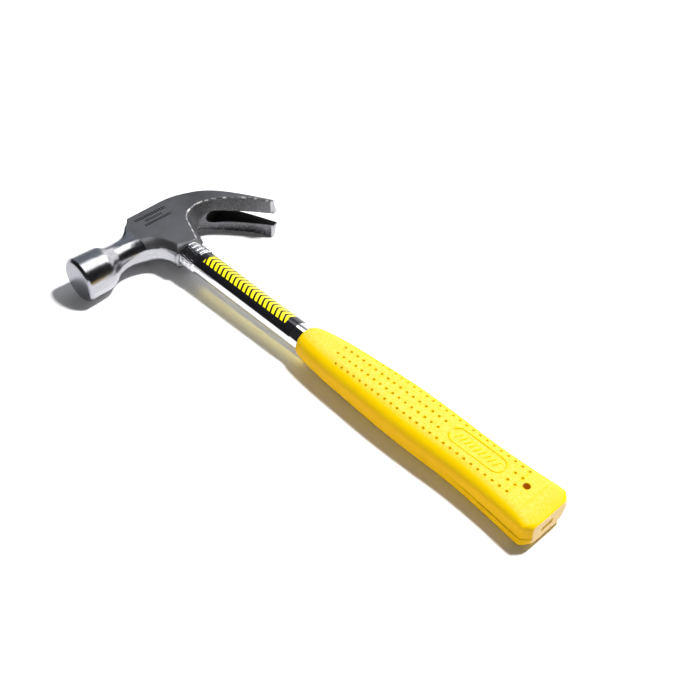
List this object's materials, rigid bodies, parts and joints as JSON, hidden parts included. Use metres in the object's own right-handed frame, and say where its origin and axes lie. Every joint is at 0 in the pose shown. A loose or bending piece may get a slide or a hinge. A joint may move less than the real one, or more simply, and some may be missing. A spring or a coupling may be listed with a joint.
{
  "type": "claw hammer",
  "caption": "Claw hammer with a forged steel head, a plated tubular steel shaft and a moulded grip, for driving and pulling nails.",
  "frame": {"origin": "centre of the striking face", "axes": "-Y out of the striking face, +X down the shaft towards the butt, +Z out of the cheek that faces up when the hammer lies on its side"},
  "size_m": [0.3292, 0.1313, 0.0292],
  "materials": {
    "forged_steel": "satin forged steel with polished poll",
    "plated_steel": "bright plated tube",
    "plug_steel": "plain pressed steel",
    "label_film": "glossy black film with yellow print",
    "grip_vinyl": "satin yellow vinyl"
  },
  "bodies": {
    "root": {"head": "forged_steel", "shaft_tube": "plated_steel", "eye_plug": "plug_steel", "label": "label_film", "grip": "grip_vinyl"}
  },
  "joints": []
}
